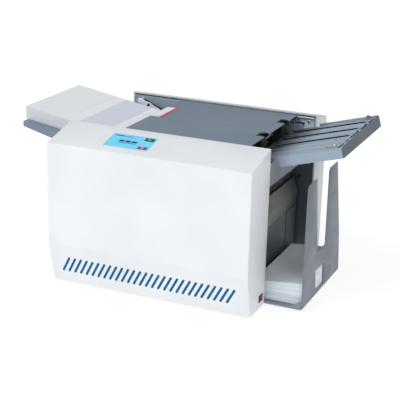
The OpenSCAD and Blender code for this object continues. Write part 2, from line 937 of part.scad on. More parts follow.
module fascia() {
    z0 = fold_c2[1] + 16.2;
    z1 = nip_1[1] + 9.7;
    color("slategray") {
        box([fascia_x - sheet_t, throat_0, z0], [fascia_x, throat_1, z1]);
        box([fascia_x - 7, throat_0, z0], [fascia_x, throat_1, z0 + sheet_t]);
    }
}

module exit_chute() {
    x0 = fold_c3[0] + fold_r + 1.5;
    color("dimgray")
        along_y(throat_0, throat_1 - bay_post - gap)
            polygon([[x0, chute_z1], [bay_x + 3, chute_bend], [bay_x, chute_z0], [bay_x + 1.5, chute_z0],
                [bay_x + 4.5, chute_bend], [x0 + 1.5, chute_z1]]);
}

module bay_wall() {
    color("darkslategray") {
        box([bay_x, throat_0, 6], [bay_x + sheet_t, throat_1, chute_z0 - 0.4]);
        box([bay_x + sheet_t, throat_1 - 64, 6], [bay_x + 2.7, throat_1 - 9, chute_z0 - 0.4]);
        box([bay_x + sheet_t, throat_1 - bay_post, 6], [bay_x + 9, throat_1, chute_z1]);
    }
}

module catch_tray() {
    color("slategray") {
        box([bay_x - tray_travel - 20, catch_y0, tray_floor - 2], [tray_x1, catch_y1, tray_floor]);
        along_y(catch_y0, catch_y0 + sheet_t)
            polygon([[bay_x + 5, 0.3], [tray_x1, 0.3], [tray_x1, tray_floor + 13],
                [tray_x1 - 20, tray_floor], [bay_x + 5, tray_floor]]);
        box([bay_x + 5, catch_y1 - sheet_t, 0.3], [tray_x1, catch_y1, tray_floor]);
    }
}

module end_stop() {
    y0 = catch_y0;
    top = stop_h;
    color("slategray")
        difference() {
            along_x(tray_x1, tray_x1 + stop_t)
                polygon([[y0, 0.3], [y0, top - 7], [y0 + 7, top], [prong_in[0] - 1, top],
                    [prong_in[0], top - 2], [prong_in[1], cross_z], [prong_out[1] - 3, cross_z],
                    [prong_out[0], top - 6], [prong_out[0] + 6, top], [prong_far - 2, top],
                    [prong_far, top - 3], [catch_y1 - 12, 85], [catch_y1, 8], [catch_y1, 0.3]]);
            along_x(tray_x1 - eps, tray_x1 + stop_t + eps)
                polygon([[window_y[0], 9], [window_y[1], 54], [window_y[2], 51], [window_y[3], 7.5]]);
        }
}

module output_stack() {
    x0 = bay_x + 8;
    x1 = tray_x1 - 3;
    z0 = tray_floor + gap;
    top = 49;
    color("white")
        along_y(throat_0 + 12, throat_0 + 12 + min(sheet_w, catch_y1 - throat_0 - 14))
            polygon([[x0, z0], [x1, z0], [x1, top], [x0, top - 8.5]]);
}

module tray_feet() {
    color("black")
        for (y = [catch_y0 + 0.237 * catch_w, catch_y0 + 0.809 * catch_w])
            translate([tray_x1 - 7, y, -foot_h])
                cylinder(r1 = 5.5, r2 = 6.5, h = foot_h + tray_floor - 2);
}

module case_screws() {
    color("silver") {
        for (p = [[body_len - 16, body_h - 13], [body_len - 12, body_h - 34]])
            translate([p[0], throat_1 - sheet_t, p[1]])
                rotate([90, 0, 0])
                    button_screw(3.4, 2.2);
        for (p = rear_screws)
            rod_y(p, 3.5, body_depth - screw_sink, body_depth);
    }
}

place() base_plate();
place() feet();
place() front_frame();
place() rear_frame();
place() tie_bars();
place() front_cover();
place() vent_backing();
place() rear_cover();
place() left_panel();
place() deck_plate();
place() deck_label();
place() guide_finger();
place() rear_bracket();
place() display_screen();
place() start_key();
place() stop_key();
place() control_board();
place() switch_frame();
place() switch_rocker();
place() power_inlet();
place() power_supply();
place() feed_tray();
place() near_guide();
place() far_guide();
place() infeed_stack();
place() hold_down_arm();
place() hold_down_rod();
place() feed_shaft();
place() feed_wheels();
place() pull_shaft();
place() pull_wheels();
place() retard_shaft();
place() retard_roller();
place() nip_shaft();
place() nip_wheels();
place() fold_shaft_1();
place() fold_roller_1();
place() fold_shaft_2();
place() fold_roller_2();
place() fold_shaft_3();
place() fold_roller_3();
place() drive_motor();
place() motor_shaft();
place() drive_belt();
place() transfer_belt();
place() feed_belt();
place() paper_bed();
place() upper_fold_plate();
place() fold_stop();
place() stop_bracket();
place() plate_screws();
place() lower_fold_plate();
place() fascia();
place() exit_chute();
place() bay_wall();
place() catch_tray();
place() end_stop();
place() output_stack();
place() tray_feet();
place() case_screws();
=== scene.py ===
"""Looks of the desktop mail folding and sealing machine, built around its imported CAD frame.

Sizes are in millimetres from the front housing's lowest left front corner, as in the CAD source.
"""
import math
import random

import bmesh
import bpy
from mathutils import Matrix, Vector


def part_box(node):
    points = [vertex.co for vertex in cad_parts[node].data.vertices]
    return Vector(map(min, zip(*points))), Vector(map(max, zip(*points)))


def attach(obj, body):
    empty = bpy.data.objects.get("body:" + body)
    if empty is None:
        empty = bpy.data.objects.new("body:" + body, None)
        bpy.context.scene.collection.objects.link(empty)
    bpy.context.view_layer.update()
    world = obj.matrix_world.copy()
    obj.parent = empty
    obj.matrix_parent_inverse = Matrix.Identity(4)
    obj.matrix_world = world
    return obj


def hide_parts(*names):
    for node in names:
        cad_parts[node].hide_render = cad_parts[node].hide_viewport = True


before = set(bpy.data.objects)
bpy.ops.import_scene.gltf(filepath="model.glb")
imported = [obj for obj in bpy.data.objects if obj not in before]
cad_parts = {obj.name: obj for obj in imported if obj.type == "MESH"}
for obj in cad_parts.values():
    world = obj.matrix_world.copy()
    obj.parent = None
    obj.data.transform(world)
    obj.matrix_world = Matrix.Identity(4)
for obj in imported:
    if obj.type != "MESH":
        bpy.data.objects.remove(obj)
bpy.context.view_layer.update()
MM = 0.001
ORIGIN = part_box("front_cover")[0]


def mm_box(node):
    """lowest and highest corner of a CAD node, in machine millimetres"""
    lo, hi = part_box(node)
    return (lo - ORIGIN) / MM, (hi - ORIGIN) / MM


# ---------------------------------------------------------------- camera, floor and light

def make_camera():
    """the camera, a little above the machine and to its right"""
    camera = bpy.data.objects.new("camera", bpy.data.cameras.new("camera"))
    bpy.context.scene.collection.objects.link(camera)
    right = Vector((0.91473, 0.40323, 0.02610))
    up = Vector((-0.15258, 0.28487, 0.94636))
    back = right.cross(up)
    camera.matrix_world = Matrix.Translation((0.85836, -1.97202, 0.8777)) @ Matrix(
        (right, up, back)).transposed().to_4x4()
    camera.data.sensor_width = 36
    camera.data.lens = 101.445
    camera.data.clip_end = 60
    bpy.context.scene.camera = camera


def make_floor():
    """a pale floor that glows a little, so that it stays near white in the shade"""
    floor = bpy.data.meshes.new("floor")
    half = 14
    corners = [(-half, -half, 0), (half, -half, 0), (half, half, 0), (-half, half, 0)]
    floor.from_pydata(corners, [], [(0, 1, 2, 3)])
    plane = bpy.data.objects.new("floor", floor)
    bpy.context.scene.collection.objects.link(plane)
    look = bpy.data.materials.new("floor")
    look.use_nodes = True
    shader = look.node_tree.nodes["Principled BSDF"]
    shader.inputs["Base Color"].default_value = (0.22, 0.22, 0.22, 1)
    shader.inputs["Roughness"].default_value = 0.9
    shader.inputs["Specular IOR Level"].default_value = 0.1
    shader.inputs["Emission Color"].default_value = (1, 1, 1, 1)
    shader.inputs["Emission Strength"].default_value = 0.845
    floor.materials.append(look)


def make_sky():
    """a soft, slightly cool sky"""
    world = bpy.data.worlds.new("sky")
    world.use_nodes = True
    sky = world.node_tree.nodes["Background"]
    sky.inputs["Color"].default_value = (0.95, 0.975, 1.0, 1)
    sky.inputs["Strength"].default_value = 0.41
    bpy.context.scene.world = world
    bpy.context.scene.view_settings.view_transform = "Standard"


def make_lights():
    """two broad lights, from the front left and the front right"""
    for name, turn, elevation, strength, spread in (("key", -30, 54, 1.21, 26), ("fill", 30, 45, 0.75, 34)):
        light = bpy.data.lights.new(name, "SUN")
        light.energy = strength
        light.angle = math.radians(spread)
        lamp = bpy.data.objects.new(name, light)
        bpy.context.scene.collection.objects.link(lamp)
        a, e = math.radians(turn), math.radians(elevation)
        towards = Vector((math.sin(a) * math.cos(e), -math.cos(a) * math.cos(e), math.sin(e)))
        lamp.rotation_mode = "QUATERNION"
        lamp.rotation_quaternion = towards.to_track_quat("Z", "Y")


make_camera()
make_floor()
make_sky()
make_lights()


# ---------------------------------------------------------------- materials

class Look:
    """one procedural material and short ways to add nodes to it"""

    def __init__(self, name, rough=0.5, metal=0.0, **constants):
        self.material = bpy.data.materials.new(name)
        self.material.use_nodes = True
        self.nodes = self.material.node_tree.nodes
        self.links = self.material.node_tree.links
        self.shader = self.nodes["Principled BSDF"]
        self.shader.inputs["Roughness"].default_value = rough
        self.shader.inputs["Metallic"].default_value = metal
        for key, value in constants.items():
            self.shader.inputs[key.replace("_", " ")].default_value = value
        self.place = self.nodes.new("ShaderNodeTexCoord").outputs["Object"]

    def set(self, node, key, value):
        if isinstance(value, bpy.types.NodeSocket):
            self.links.new(value, node.inputs[key])
        else:
            node.inputs[key].default_value = value

    def stretch(self, scale):
        node = self.nodes.new("ShaderNodeMapping")
        self.links.new(self.place, node.inputs["Vector"])
        node.inputs["Scale"].default_value = scale
        return node.outputs["Vector"]

    def noise(self, scale, detail=4, stretch=None, roughness=0.55):
        node = self.nodes.new("ShaderNodeTexNoise")
        node.inputs["Scale"].default_value = scale
        node.inputs["Detail"].default_value = detail
        node.inputs["Roughness"].default_value = roughness
        self.links.new(self.stretch(stretch) if stretch else self.place, node.inputs["Vector"])
        return node.outputs["Fac"]

    def cells(self, scale, feature="F1", stretch=None):
        node = self.nodes.new("ShaderNodeTexVoronoi")
        node.feature = feature
        node.inputs["Scale"].default_value = scale
        self.links.new(self.stretch(stretch) if stretch else self.place, node.inputs["Vector"])
        return node.outputs["Distance"]

    def scale(self, value, low, high, to_low=0.0, to_high=1.0):
        node = self.nodes.new("ShaderNodeMapRange")
        self.set(node, "Value", value)
        limits = (("From Min", low), ("From Max", high), ("To Min", to_low), ("To Max", to_high))
        for key, number in limits:
            node.inputs[key].default_value = number
        return node.outputs["Result"]

    def math(self, kind, a, b=0.0):
        node = self.nodes.new("ShaderNodeMath")
        node.operation = kind
        self.set(node, 0, a)
        self.set(node, 1, b)
        return node.outputs[0]

    def along(self, axis):
        node = self.nodes.new("ShaderNodeSeparateXYZ")
        self.links.new(self.place, node.inputs[0])
        return node.outputs[axis]

    def band(self, axis, start, end):
        """1 between two places along an axis, in metres, else 0"""
        value = self.along(axis)
        after, before = self.math("GREATER_THAN", value, start), self.math("LESS_THAN", value, end)
        return self.math("MULTIPLY", after, before)

    def edges(self, width):
        """1 on convex and concave edges, falling to 0 about width metres away"""
        soft = self.nodes.new("ShaderNodeBevel")
        soft.samples = 6
        soft.inputs["Radius"].default_value = width
        hard = self.nodes.new("ShaderNodeNewGeometry")
        node = self.nodes.new("ShaderNodeVectorMath")
        node.operation = "DOT_PRODUCT"
        self.links.new(soft.outputs[0], node.inputs[0])
        self.links.new(hard.outputs["Normal"], node.inputs[1])
        return self.scale(node.outputs["Value"], 1.0, 0.86)

    def mix(self, share, a, b):
        node = self.nodes.new("ShaderNodeMix")
        node.data_type = "RGBA"
        self.set(node, 0, share)
        for key, colour in ((6, a), (7, b)):
            self.set(node, key, (*colour, 1) if isinstance(colour, tuple) else colour)
        return node.outputs[2]

    def colour(self, value):
        self.set(self.shader, "Base Color", value)

    def rough(self, value):
        self.set(self.shader, "Roughness", value)

    def bump(self, height, distance):
        node = self.nodes.new("ShaderNodeBump")
        node.inputs["Distance"].default_value = distance
        node.inputs["Strength"].default_value = 1.0
        self.links.new(height, node.inputs["Height"])
        if self.shader.inputs["Normal"].is_linked:
            self.links.new(self.shader.inputs["Normal"].links[0].from_socket, node.inputs["Normal"])
        self.links.new(node.outputs[0], self.shader.inputs["Normal"])


def shade(colour, by):
    """the colour made lighter or darker by a factor"""
    return tuple(min(1.0, c * by) for c in colour)


def powder_coat(name, colour, rough=0.42, peel=0.000035, wear=None, painted_shade=None):
    """painted sheet metal: orange peel, mottling, rubbed edges, and, where given, painted shade that darkens
    it below a place along one axis
    """
    look = Look(name, rough, Specular_IOR_Level=0.45)
    mottle = look.noise(9, 3)
    base = look.mix(look.scale(mottle, 0.3, 0.7), shade(colour, 0.965), shade(colour, 1.03))
    # painted shade: darker than the paint below a start place along one axis, fading back to the paint by an
    # end place
    if painted_shade:
        axis, start, end, dark = painted_shade
        base = look.mix(look.scale(look.along(axis), start, end), dark, base)
    grain = look.noise(1400, 2)
    base = look.mix(look.scale(grain, 0.35, 0.75, 0, 0.22), base, shade(colour, 0.86))
    if wear:
        edges = look.edges(0.0009)
        patches = look.scale(look.noise(120, 5), 0.42, 0.62, 0.15, 0.75)
        base = look.mix(look.math("MULTIPLY", edges, patches), base, wear)
    look.colour(base)
    look.rough(look.scale(look.noise(26, 4), 0.3, 0.7, rough - 0.05, rough + 0.07))
    look.bump(look.noise(520, 3), peel)
    look.bump(look.noise(2600, 2), peel * 0.35)
    return look.material


def bare_steel(name, colour=(0.62, 0.63, 0.64), along=(4, 260, 260), rough=0.27):
    """drawn or turned steel with fine lines along one axis"""
    look = Look(name, rough, 1.0)
    lines = look.noise(9, 6, stretch=along, roughness=0.7)
    look.colour(look.mix(look.scale(lines, 0.3, 0.7), shade(colour, 0.82), shade(colour, 1.08)))
    look.rough(look.scale(look.noise(40, 4), 0.3, 0.7, rough - 0.07, rough + 0.12))
    look.bump(lines, 0.00001)
    return look.material


def rubber(name, colour=(0.022, 0.023, 0.025), rough=0.72, lint=0.0):
    """ground rubber with dusty patches and paper lint"""
    look = Look(name, rough, Specular_IOR_Level=0.35)
    dust = look.scale(look.noise(60, 5), 0.45, 0.75)
    base = look.mix(dust, colour, tuple(c + 0.02 for c in colour))
    specks = look.scale(look.cells(330), 0.16, 0.1, 0.0, lint)
    look.colour(look.mix(specks, base, (0.5, 0.5, 0.48)))
    look.rough(look.scale(look.noise(90, 4), 0.3, 0.7, rough - 0.1, rough + 0.12))
    look.bump(look.noise(1500, 3), 0.00006)
    return look.material


def moulded(name, colour, rough=0.42, grain=1100):
    """moulded plastic with a spark-eroded grain"""
    look = Look(name, rough, Specular_IOR_Level=0.5)
    look.colour(look.mix(look.scale(look.noise(35, 3), 0.3, 0.7), shade(colour, 0.9), shade(colour, 1.1)))
    look.rough(look.scale(look.noise(70, 4), 0.3, 0.7, rough - 0.06, rough + 0.08))
    look.bump(look.cells(grain), 0.00003)
    return look.material


def paper(name, colour=(0.83, 0.845, 0.87), bands=()):
    """uncoated paper: fibres, a faint tooth and tint bands across it, each a given colour between two places
    along X
    """
    look = Look(name, 0.86, Specular_IOR_Level=0.25)
    fibres = look.noise(420, 5, stretch=(1, 3, 1), roughness=0.7)
    base = look.mix(look.scale(fibres, 0.3, 0.75), shade(colour, 0.955), shade(colour, 1.02))
    for start, end, tint in bands:
        speckle = look.scale(look.cells(900), 0.1, 0.6, 0.75, 1.0)
        base = look.mix(look.math("MULTIPLY", look.band(0, start, end), speckle), base, tint)
    look.colour(base)
    look.rough(look.scale(look.noise(200, 3), 0.3, 0.7, 0.8, 0.92))
    look.bump(fibres, 0.00002)
    return look.material


def glass_screen(name, colour):
    """a lit display under satin glass, its glow a touch uneven from place to place"""
    look = Look(name, 0.16, Coat_Weight=0.5, Coat_Roughness=0.12)
    glow = look.mix(look.scale(look.noise(14, 2), 0.3, 0.7), shade(colour, 0.93), shade(colour, 1.06))
    dots = look.scale(look.cells(2600), 0.1, 0.5, 0.0, 0.16)
    glow = look.mix(dots, glow, shade(colour, 0.8))
    look.colour(glow)
    look.rough(look.scale(look.noise(120, 4), 0.3, 0.7, 0.12, 0.26))
    look.links.new(glow, look.shader.inputs["Emission Color"])
    look.shader.inputs["Emission Strength"].default_value = 0.25
    look.bump(look.noise(700, 2), 0.000004)
    return look.material


def foam_filter(name, colour):
    """blue filter foam with open cells"""
    look = Look(name, 0.85, Specular_IOR_Level=0.2)
    pores = look.cells(1300, "DISTANCE_TO_EDGE")
    look.colour(look.mix(look.scale(pores, 0.0, 0.3), shade(colour, 1.25), shade(colour, 0.75)))
    look.rough(look.scale(look.noise(200, 3), 0.3, 0.7, 0.78, 0.92))
    look.bump(pores, 0.0001)
    return look.material


def circuit_board(name):
    """green board with copper runs under the mask"""
    look = Look(name, 0.4, Specular_IOR_Level=0.5)
    runs = look.scale(look.cells(260, "DISTANCE_TO_EDGE", stretch=(1, 0.4, 1)), 0.05, 0.09)
    base = look.mix(runs, (0.05, 0.2, 0.08), (0.012, 0.085, 0.03))
    look.colour(base)
    look.rough(look.scale(look.noise(90, 3), 0.3, 0.7, 0.3, 0.5))
    look.bump(runs, 0.00005)
    return look.material


def satin_chute(name, colour):
    """brushed dark sheet, its brushing upright, with soft smears"""
    look = Look(name, 0.4, 0.25, Specular_IOR_Level=0.4)
    lines = look.noise(8, 6, stretch=(160, 160, 6), roughness=0.7)
    smear = look.noise(11, 3)
    base = look.mix(look.scale(lines, 0.3, 0.7), shade(colour, 0.88), shade(colour, 1.12))
    look.colour(look.mix(look.scale(smear, 0.4, 0.7, 0, 0.35), base, shade(colour, 1.35)))
    look.rough(look.scale(smear, 0.3, 0.7, 0.3, 0.52))
    look.bump(lines, 0.00001)
    return look.material


def x_at(x):
    """machine X in the frame's metres"""
    return ORIGIN.x + x * MM


def z_at(z):
    """machine Z in the frame's metres"""
    return ORIGIN.z + z * MM


WHITE = (0.83, 0.855, 0.88)
STEEL_GREY = (0.185, 0.245, 0.305)
LIGHT_GREY = (0.325, 0.415, 0.5)
looks = {
    "housing_white": powder_coat("housing_white", WHITE, 0.4, wear=(0.96, 0.97, 0.98)),
    "deck_grey": powder_coat("deck_grey", STEEL_GREY, 0.46, wear=(0.5, 0.54, 0.58)),
    "frame_grey": powder_coat("frame_grey", (0.2, 0.25, 0.3), 0.46, wear=(0.45, 0.49, 0.53)),
    "inner_grey": powder_coat("inner_grey", (0.07, 0.09, 0.105), 0.5),
    # rear frame: painted shade below about 256 to 268 mm up, where the frame stands in the shadowed bay
    "throat_grey": powder_coat("throat_grey", (0.3, 0.385, 0.46), 0.46,
                               painted_shade=(2, z_at(256), z_at(268), (0.09, 0.12, 0.145))),
    "sheet_grey": powder_coat("sheet_grey", LIGHT_GREY, 0.34, 0.00002, wear=(0.7, 0.74, 0.78)),
    # fold plate: painted shade, near black towards the deck edge and fading to the paint between 398 and 452
    # mm along X, where the deck shades it
    "plate_grey": powder_coat("plate_grey", (0.31, 0.395, 0.475), 0.34, 0.00002, (0.8, 0.84, 0.88),
                              (0, x_at(398), x_at(452), (0.02, 0.026, 0.034))),
    # rear housing: the front housing's white, darkened as painted shade
    "rear_white_painted_shade": powder_coat("rear_white_painted_shade", (0.68, 0.715, 0.74), 0.4, wear=(0.92, 0.94, 0.96)),
    # fold plate end flange: a far darker copy of the plate's paint, as painted shade
    "end_flange_painted_shade": powder_coat("end_flange_painted_shade", (0.075, 0.102, 0.124), 0.44, wear=(0.4, 0.43, 0.46)),
    "flange_grey": powder_coat("flange_grey", (0.55, 0.64, 0.75), 0.36, 0.00002, wear=(0.7, 0.74, 0.78)),
    "stop_grey": powder_coat("stop_grey", (0.14, 0.17, 0.208), 0.42, wear=(0.42, 0.46, 0.5)),
    # black for the shade seen through the fold plate's slots: painted shade
    "slot_shade_black": powder_coat("slot_shade_black", (0.012, 0.013, 0.015), 0.7),
    "arm_light": powder_coat("arm_light", (0.78, 0.8, 0.84), 0.35, wear=(0.9, 0.92, 0.95)),
    "bare_steel": bare_steel("bare_steel", along=(260, 4, 260)),
    "plated_steel": bare_steel("plated_steel", (0.7, 0.72, 0.74), (60, 60, 60), 0.22),
    "black_rubber": rubber("black_rubber"),
    "roller_rubber": rubber("roller_rubber", (0.016, 0.016, 0.018), 0.66, 0.6),
    "black_plastic": moulded("black_plastic", (0.018, 0.019, 0.021)),
    "grey_plastic": moulded("grey_plastic", (0.2, 0.21, 0.22)),
    "chute_taupe": satin_chute("chute_taupe", (0.115, 0.108, 0.1)),
    "mesh_teal": foam_filter("mesh_teal", (0.001, 0.125, 0.3)),
    "label_white": paper("label_white", (0.8, 0.81, 0.82)),
    "label_red": paper("label_red", (0.72, 0.1, 0.1)),
    "display": glass_screen("display", (0.13, 0.58, 0.83)),
    "display_dark": moulded("display_dark", (0.004, 0.035, 0.07), 0.25, 2000),
    "key_green": moulded("key_green", (0.006, 0.13, 0.05), 0.28, 1800),
    "key_red": moulded("key_red", (0.5, 0.035, 0.03), 0.28, 1800),
    "key_mark": moulded("key_mark", (0.75, 0.82, 0.8), 0.35, 1800),
    "rocker_red": moulded("rocker_red", (0.42, 0.03, 0.07), 0.22, 1500),
    "board_green": circuit_board("board_green"),
    "supply_metal": bare_steel("supply_metal", (0.55, 0.56, 0.57), (4, 200, 200), 0.4),
    "motor_dark": powder_coat("motor_dark", (0.035, 0.038, 0.042), 0.45),
    "paper": paper("paper"),
    # the folded sheets' paper: lighter and bluer than the waiting sheets' paper, as painted cool light
    "paper_painted_cool_light": paper("paper_painted_cool_light", (0.88, 0.93, 0.99)),
    "paper_top": paper("paper_top", (0.80, 0.815, 0.845), (
        (x_at(-27), x_at(-2), (0.84, 0.855, 0.87)),
        (x_at(-2), x_at(60), (0.67, 0.7, 0.79)),
        (x_at(60), x_at(78), (0.84, 0.85, 0.87)))),
}


# ---------------------------------------------------------------- mesh helpers, in machine millimetres

def rounded(outline, radius, steps=4, closed=True):
    """the outline with its corners turned into arcs"""
    points = [Vector(p) for p in outline]
    made = []
    for i, corner in enumerate(points):
        if not closed and i in (0, len(points) - 1):
            made.append(corner)
            continue
        to_last = points[i - 1] - corner
        to_next = points[(i + 1) % len(points)] - corner
        room = 0.48 * min(to_last.length, to_next.length)
        to_last.normalize()
        to_next.normalize()
        half = to_last.angle(to_next) / 2
        if half > math.radians(87):
            made.append(corner)
            continue
        back = min(room, radius / math.tan(half))
        start = corner + to_last * back
        end = corner + to_next * back
        centre = corner + (to_last + to_next).normalized() * (back / math.cos(half))
        a, b = start - centre, end - centre
        turn = math.atan2(a.x * b.y - a.y * b.x, a.dot(b))
        for k in range(steps + 1):
            made.append(centre + Matrix.Rotation(turn * k / steps, 2) @ a)
    return made


def sheet_outline(path, thickness):
    """the closed outline of a bent sheet whose outer face follows the open path"""
    path = [Vector(p) for p in path]
    inner = []
    for i, p in enumerate(path):
        last = min(i, len(path) - 2)
        ahead = (path[last + 1] - path[last]).normalized()
        behind = (path[i] - path[i - 1]).normalized() if i else ahead
        square = Vector((ahead.y, -ahead.x))
        inward = (square + Vector((behind.y, -behind.x))).normalized()
        inner.append(p + inward * (thickness / max(0.35, inward.dot(square))))
    return path + inner[::-1]


DRAWN_ALONG = {
    "x": lambda p, d: (d, p[0], p[1]),
    "y": lambda p, d: (p[0], d, p[1]),
    "z": lambda p, d: (p[0], p[1], d),
}


def prism(bm, outline, axis, start, end):
    """a solid drawn out along an axis from its outline, as [Y, Z], [X, Z] or [X, Y]"""
    place = DRAWN_ALONG[axis]
    low = [bm.verts.new(place(p, start)) for p in outline]
    high = [bm.verts.new(place(p, end)) for p in outline]
    bm.faces.new(low)
    bm.faces.new(high)
    count = len(outline)
    for i in range(count):
        after = (i + 1) % count
        bm.faces.new((low[i], low[after], high[after], high[i]))


def corners_of(x0, y0, x1, y1):
    """the four corners of a rectangle, in order"""
    return [(x0, y0), (x1, y0), (x1, y1), (x0, y1)]


def block(bm, lo, hi):
    """a plain box, used as a cutter or joined to a larger piece"""
    prism(bm, corners_of(lo[0], lo[1], hi[0], hi[1]), "z", lo[2], hi[2])


def plate(bm, x0, y0, x1, y1, z0, z1, radius=0.8):
    """a flat plate with rounded corners"""
    prism(bm, rounded(corners_of(x0, y0, x1, y1), radius), "z", z0, z1)


def turned(bm, centre, axis, profile, steps=40):
    """a turned solid; its profile gives (radius, place along the axis) from one end to the other"""
    x, y, z = Vector((1, 0, 0)), Vector((0, 1, 0)), Vector((0, 0, 1))
    u, v, w = {"x": (y, z, x), "y": (z, x, y), "z": (x, y, z)}[axis]
    spokes = [u * math.cos(t) + v * math.sin(t) for t in (2 * math.pi * k / steps for k in range(steps))]
    rings = []
    for radius, along in profile:
        middle = Vector(centre) + w * along
        rings.append([bm.verts.new(middle + spoke * radius) for spoke in spokes])
    bm.faces.new(rings[0])
    bm.faces.new(rings[-1])
    for a, b in zip(rings, rings[1:]):
        for k in range(steps):
            after = (k + 1) % steps
            bm.faces.new((a[k], a[after], b[after], b[k]))


def slot_outline(a, b, width, steps=8):
    """a round-ended slot from a to b"""
    a, b = Vector(a), Vector(b)
    turn = math.atan2(b.y - a.y, b.x - a.x)
    ends = []
    for centre, start in ((a, turn + math.pi / 2), (b, turn - math.pi / 2)):
        for k in range(steps + 1):
            t = start + math.pi * k / steps
            ends.append(centre + width / 2 * Vector((math.cos(t), math.sin(t))))
    return ends


def to_mesh(bm, name):
    bmesh.ops.recalc_face_normals(bm, faces=bm.faces)
    mesh = bpy.data.meshes.new(name)
    bm.to_mesh(mesh)
    bm.free()
    return mesh


def cut_by(bm, other):
    """one solid with another cut out of it"""
    body = bpy.data.objects.new("body", to_mesh(bm, "body"))
    tool = bpy.data.objects.new("tool", to_mesh(other, "tool"))
    for o in (body, tool):
        bpy.context.scene.collection.objects.link(o)
    modifier = body.modifiers.new("cut", "BOOLEAN")
    modifier.operation = "DIFFERENCE"
    modifier.solver = "EXACT"
    modifier.object = tool
    bpy.context.view_layer.update()
    made = bmesh.new()
    made.from_mesh(body.evaluated_get(bpy.context.evaluated_depsgraph_get()).to_mesh())
    for o in (body, tool):
        mesh = o.data
        bpy.data.objects.remove(o)
        bpy.data.meshes.remove(mesh)
    bmesh.ops.remove_doubles(made, verts=made.verts, dist=0.0005)
    return made


def round_rims(bm, radius, steps):
    """rounds every edge that turns by more than 60 degrees"""
    bmesh.ops.recalc_face_normals(bm, faces=bm.faces)
    least = math.radians(60)
    sharp = [e for e in bm.edges if len(e.link_faces) == 2 and e.calc_face_angle(0) > least]
    bmesh.ops.bevel(bm, geom=sharp, offset=radius, segments=steps, profile=0.5, affect="EDGES",
                    clamp_overlap=True)


def piece(bm, name, body, look, replaces=(), bevel=0.0, sharp=38):
    """turns a bmesh into a shown piece that rides on a CAD body"""
    mesh = to_mesh(bm, name)
    mesh.transform(Matrix.Translation(ORIGIN) @ Matrix.Diagonal((MM, MM, MM, 1)))
    mesh.shade_smooth()
    mesh.set_sharp_from_angle(angle=math.radians(sharp))
    mesh.materials.append(looks[look])
    made = bpy.data.objects.new(name, mesh)
    bpy.context.scene.collection.objects.link(made)
    if bevel:
        add_bevel(made, bevel)
    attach(made, body)
    if replaces:
        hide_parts(*replaces)


def add_bevel(o, width):
    """eases an object's sharp edges without changing its mesh"""
    modifier = o.modifiers.new("edges", "BEVEL")
    modifier.width = width * MM
    modifier.segments = 2
    modifier.limit_method = "ANGLE"
    modifier.angle_limit = math.radians(40)
    modifier.harden_normals = True


def dress(node, look, bevel=0.25):
    """gives a CAD node its material, and eases its edges"""
    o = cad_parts[node]
    o.data.materials.clear()
    o.data.materials.append(looks[look])
    if bevel:
        o.modifiers.new("weld", "WELD").merge_threshold = 0.000002
        add_bevel(o, bevel)
        o.modifiers.new("normals", "WEIGHTED_NORMAL")


# ---------------------------------------------------------------- sizes read from the frame

cover_hi = mm_box("front_cover")[1]
rear_lo, rear_hi = mm_box("rear_cover")
BODY_LEN, FRONT_DEPTH, BODY_H = cover_hi
THROAT_0, THROAT_1 = FRONT_DEPTH, rear_lo.y
WALL = 3
# the front housing: its lower front leans in below LOW_Z, its top panel slopes down to the front
LOW_Z = 84
LOW_SET_BACK = 21
PANEL_DROP = 22
# the rear housing: how far it stands above the front one, and how far its top falls to the back
REAR_RISE = 3
REAR_DROP = 14
REAR_R = 12
BACK_SCREWS = [(x, z) for x in (20, BODY_LEN - 20) for z in (22, BODY_H - 40)]
PANEL_TILT = math.atan2(PANEL_DROP, FRONT_DEPTH)
LOW_TILT = math.atan2(LOW_SET_BACK, LOW_Z)
LOW_SLOPE = math.hypot(LOW_Z, LOW_SET_BACK)
TRAY_SLOPE = math.radians(8.5)
FOLD_PITCH = math.radians(15.7)
# the display's window, measured along the front and up its sloping panel
SCREEN = ((108, 21.5), (200, 72.5))

panel_frame = Matrix.Translation((0, 0, BODY_H - PANEL_DROP)) @ Matrix.Rotation(PANEL_TILT, 4, "X")
low_front_frame = Matrix.Translation((0, 0, LOW_Z)) @ Matrix.Rotation(LOW_TILT, 4, "X")


def moved(bm, matrix):
    bm.transform(matrix)
    return bm


# ---------------------------------------------------------------- housings

VENTS = 28
VENT_W = 4.9
VENT_LEAN = 17
# how far the row stays from each end of the housing
VENTS_FROM = 25
VENTS_TO = 27.5


def vent_slots(bm, width, v0, v1, shrink=0.0):
    """the slanting slots of the lower front, between two depths behind its face"""
    first = VENTS_FROM + VENT_LEAN
    pitch = (BODY_LEN - first - VENTS_TO) / (VENTS - 1)
    top, end = LOW_SLOPE * 0.35, LOW_SLOPE * 0.70
    for i in range(VENTS):
        x = first + i * pitch
        prism(bm, slot_outline((x, -top), (x - VENT_LEAN, -end), width - shrink), "y", v0, v1)


